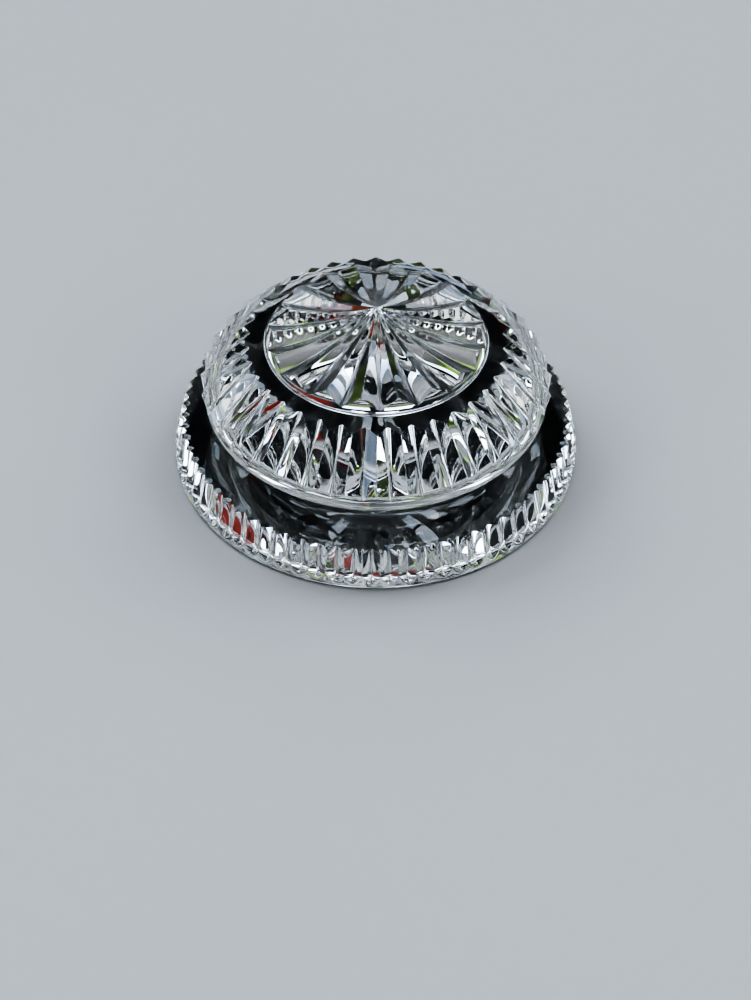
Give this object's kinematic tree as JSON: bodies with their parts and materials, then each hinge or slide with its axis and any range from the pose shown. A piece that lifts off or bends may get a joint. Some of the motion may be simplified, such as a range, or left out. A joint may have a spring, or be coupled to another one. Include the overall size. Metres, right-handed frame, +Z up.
{
  "type": "paperweight",
  "caption": "Round capstan-shaped paperweight in solid clear cut crystal: fluted base, undercut waist, fluted drum and a radial star cut on top.",
  "frame": {"origin": "centre of the flat polished base, at the level the part rests on", "axes": "+Z up along the axis of the turned blank, from the flat base to the centre of the star; -Y is the front, where a ridge of the drum's flutes stands"},
  "size_m": [0.09, 0.09, 0.0397],
  "materials": {
    "clear_crystal": "clear polished lead crystal, sharp wheel cuts"
  },
  "bodies": {
    "root": {"crystal_body": "clear_crystal"}
  },
  "joints": []
}
